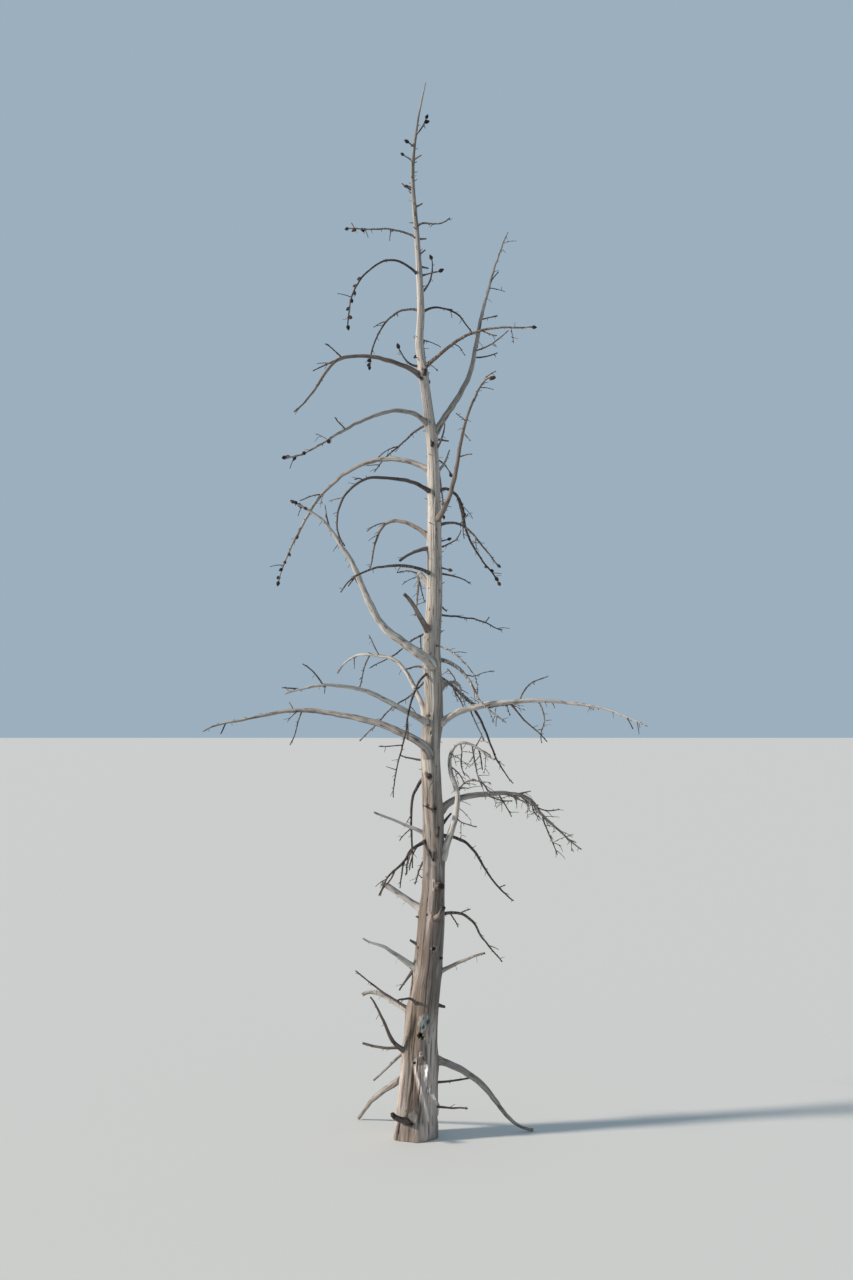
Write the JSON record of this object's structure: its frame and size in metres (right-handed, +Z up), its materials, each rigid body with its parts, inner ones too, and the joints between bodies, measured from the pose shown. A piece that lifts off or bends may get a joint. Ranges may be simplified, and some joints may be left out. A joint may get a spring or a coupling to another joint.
{
  "type": "dead conifer tree",
  "caption": "Standing dead pine with no bark: a slim leaning trunk with a flared foot, arching bare boughs, fine drooping twigs, old cones and many broken stubs.",
  "frame": {"origin": "middle of the flat cut under the trunk, at ground level", "axes": "+Z up the trunk, +X to the right in the front view, +Y away from the viewer"},
  "size_m": [1.9874, 1.3804, 4.8],
  "materials": {
    "trunk_wood": "weathered",
    "bough_wood": "weathered",
    "twig_wood": "weathered"
  },
  "bodies": {
    "root": {"bough_back_2": "bough_wood", "bough_back_3": "bough_wood", "bough_back_4": "bough_wood", "bough_left_10": "bough_wood", "bough_left_15": "bough_wood", "bough_left_16": "bough_wood", "bough_left_17": "bough_wood", "bough_left_19": "bough_wood", "bough_left_32": "bough_wood", "bough_left_5": "bough_wood", "bough_left_6": "bough_wood", "bough_left_8": "bough_wood", "bough_left_9": "bough_wood", "bough_right_19": "bough_wood", "bough_right_20": "bough_wood", "bough_right_21": "bough_wood", "bough_right_26": "bough_wood", "bough_right_6": "bough_wood", "bough_right_9": "bough_wood", "trunk": "trunk_wood", "twigs_back_1": "twig_wood", "twigs_back_2": "twig_wood", "twigs_back_3": "twig_wood", "twigs_back_4": "twig_wood", "twigs_back_5": "twig_wood", "twigs_left_1": "twig_wood", "twigs_left_10": "twig_wood", "twigs_left_12": "twig_wood", "twigs_left_14": "twig_wood", "twigs_left_15": "twig_wood", "twigs_left_16": "twig_wood", "twigs_left_17": "twig_wood", "twigs_left_18": "twig_wood", "twigs_left_19": "twig_wood", "twigs_left_2": "twig_wood", "twigs_left_20": "twig_wood", "twigs_left_22": "twig_wood", "twigs_left_24": "twig_wood", "twigs_left_3": "twig_wood", "twigs_left_5": "twig_wood", "twigs_left_6": "twig_wood", "twigs_left_7": "twig_wood", "twigs_left_8": "twig_wood", "twigs_left_9": "twig_wood", "twigs_right_1": "twig_wood", "twigs_right_10": "twig_wood", "twigs_right_11": "twig_wood", "twigs_right_15": "twig_wood", "twigs_right_16": "twig_wood", "twigs_right_17": "twig_wood", "twigs_right_18": "twig_wood", "twigs_right_19": "twig_wood", "twigs_right_20": "twig_wood", "twigs_right_21": "twig_wood", "twigs_right_22": "twig_wood", "twigs_right_24": "twig_wood", "twigs_right_4": "twig_wood", "twigs_right_5": "twig_wood", "twigs_right_6": "twig_wood", "twigs_right_9": "twig_wood"}
  },
  "joints": []
}
